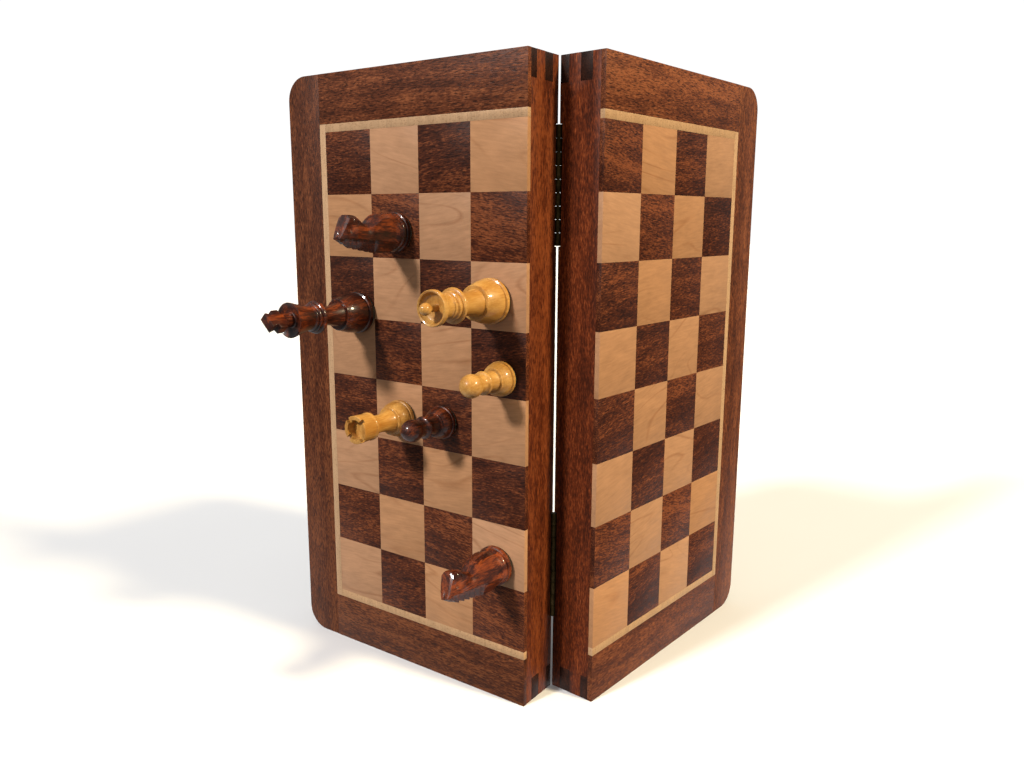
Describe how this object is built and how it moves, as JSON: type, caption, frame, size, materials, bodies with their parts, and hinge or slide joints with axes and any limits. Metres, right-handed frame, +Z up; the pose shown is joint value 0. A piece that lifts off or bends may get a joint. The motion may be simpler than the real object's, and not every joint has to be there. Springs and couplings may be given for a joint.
{
  "type": "chess set with board",
  "caption": "Folding wooden magnetic chess set standing on its end, half open, with chessmen on the board and more stored in its lined trays.",
  "frame": {"origin": "centre of the bottom of the box round the whole set, on the surface it stands on", "axes": "+Z up along the hinge axis; the left half's playing face looks towards -Y, and the right half's towards +X"},
  "size_m": [0.1896, 0.2348, 0.305],
  "materials": {
    "walnut_rail": "satin lacquer",
    "plywood": "matte",
    "dark_square": "satin lacquer",
    "light_square": "satin lacquer",
    "inlay": "satin lacquer",
    "boxwood": "gloss lacquer",
    "rosewood": "gloss lacquer",
    "brass": "satin",
    "steel": "zinc plated",
    "magnet": "nickel plated",
    "felt": "felt",
    "lining": "flocked",
    "border": "satin lacquer"
  },
  "bodies": {
    "left_half": {"left_spine_rail": "walnut_rail", "left_outer_rail": "walnut_rail", "left_upper_end_rail": "walnut_rail", "left_lower_end_rail": "walnut_rail", "left_border": "border", "left_inlay": "inlay", "left_dark_squares": "dark_square", "left_light_squares": "light_square", "left_steel_sheet": "steel", "left_base_panel": "plywood", "left_storage_insert": "lining", "left_closing_magnets": "magnet", "left_hinge_leaves": "brass", "left_hinge_screws": "brass", "hinge_pins": "brass"},
    "right_half": {"right_spine_rail": "walnut_rail", "right_outer_rail": "walnut_rail", "right_upper_end_rail": "walnut_rail", "right_lower_end_rail": "walnut_rail", "right_border": "border", "right_inlay": "inlay", "right_dark_squares": "dark_square", "right_light_squares": "light_square", "right_steel_sheet": "steel", "right_base_panel": "plywood", "right_storage_insert": "lining", "right_closing_magnets": "magnet", "right_hinge_leaves": "brass", "right_hinge_screws": "brass"},
    "dark_knight_a": {"dark_knight_a": "rosewood", "dark_knight_a_magnet": "magnet", "dark_knight_a_felt": "felt"},
    "dark_king": {"dark_king": "rosewood", "dark_king_magnet": "magnet", "dark_king_felt": "felt"},
    "light_queen": {"light_queen": "boxwood", "light_queen_magnet": "magnet", "light_queen_felt": "felt"},
    "light_pawn": {"light_pawn": "boxwood", "light_pawn_magnet": "magnet", "light_pawn_felt": "felt"},
    "light_rook": {"light_rook": "boxwood", "light_rook_magnet": "magnet", "light_rook_felt": "felt"},
    "dark_pawn": {"dark_pawn": "rosewood", "dark_pawn_magnet": "magnet", "dark_pawn_felt": "felt"},
    "dark_knight_b": {"dark_knight_b": "rosewood", "dark_knight_b_magnet": "magnet", "dark_knight_b_felt": "felt"},
    "lift_stored_light_king": {"stored_light_king": "boxwood"},
    "lift_stored_light_bishops": {"stored_light_bishops": "boxwood"},
    "lift_stored_light_knights": {"stored_light_knights": "boxwood"},
    "lift_stored_light_rook": {"stored_light_rook": "boxwood"},
    "lift_stored_light_pawns": {"stored_light_pawns": "boxwood"},
    "lift_stored_dark_queen": {"stored_dark_queen": "rosewood"},
    "lift_stored_dark_bishops": {"stored_dark_bishops": "rosewood"},
    "lift_stored_dark_rooks": {"stored_dark_rooks": "rosewood"},
    "lift_stored_dark_pawns": {"stored_dark_pawns": "rosewood"}
  },
  "joints": [
    {"name": "fold_hinge", "type": "hinge", "parent": "left_half", "child": "right_half", "pos_m": [0.0561, -0.03286, 0.0653], "axis": [0, 0, -1], "range_deg": [-95.4, 84.6]},
    {"name": "pull_dark_knight_a", "type": "slide", "parent": "left_half", "child": "dark_knight_a", "axis": [0, -1, 0], "range_m": [0, 0.06]},
    {"name": "pull_dark_king", "type": "slide", "parent": "left_half", "child": "dark_king", "axis": [0, -1, 0], "range_m": [0, 0.06]},
    {"name": "pull_light_queen", "type": "slide", "parent": "left_half", "child": "light_queen", "axis": [0, -1, 0], "range_m": [0, 0.06]},
    {"name": "pull_light_pawn", "type": "slide", "parent": "left_half", "child": "light_pawn", "axis": [0, -1, 0], "range_m": [0, 0.06]},
    {"name": "pull_light_rook", "type": "slide", "parent": "left_half", "child": "light_rook", "axis": [0, -1, 0], "range_m": [0, 0.06]},
    {"name": "pull_dark_pawn", "type": "slide", "parent": "left_half", "child": "dark_pawn", "axis": [0, -1, 0], "range_m": [0, 0.06]},
    {"name": "pull_dark_knight_b", "type": "slide", "parent": "left_half", "child": "dark_knight_b", "axis": [0, -1, 0], "range_m": [0, 0.06]},
    {"name": "lift_out_light_king", "type": "slide", "parent": "left_half", "child": "lift_stored_light_king", "axis": [0, 1, 0], "range_m": [0, 0.04]},
    {"name": "lift_out_light_bishops", "type": "slide", "parent": "left_half", "child": "lift_stored_light_bishops", "axis": [0, 1, 0], "range_m": [0, 0.04]},
    {"name": "lift_out_light_knights", "type": "slide", "parent": "left_half", "child": "lift_stored_light_knights", "axis": [0, 1, 0], "range_m": [0, 0.04]},
    {"name": "lift_out_light_rook", "type": "slide", "parent": "left_half", "child": "lift_stored_light_rook", "axis": [0, 1, 0], "range_m": [0, 0.04]},
    {"name": "lift_out_light_pawns", "type": "slide", "parent": "left_half", "child": "lift_stored_light_pawns", "axis": [0, 1, 0], "range_m": [0, 0.04]},
    {"name": "lift_out_dark_queen", "type": "slide", "parent": "right_half", "child": "lift_stored_dark_queen", "axis": [-0.9956, 0.0941, 0], "range_m": [0, 0.04]},
    {"name": "lift_out_dark_bishops", "type": "slide", "parent": "right_half", "child": "lift_stored_dark_bishops", "axis": [-0.9956, 0.0941, 0], "range_m": [0, 0.04]},
    {"name": "lift_out_dark_rooks", "type": "slide", "parent": "right_half", "child": "lift_stored_dark_rooks", "axis": [-0.9956, 0.0941, 0], "range_m": [0, 0.04]},
    {"name": "lift_out_dark_pawns", "type": "slide", "parent": "right_half", "child": "lift_stored_dark_pawns", "axis": [-0.9956, 0.0941, 0], "range_m": [0, 0.04]}
  ]
}
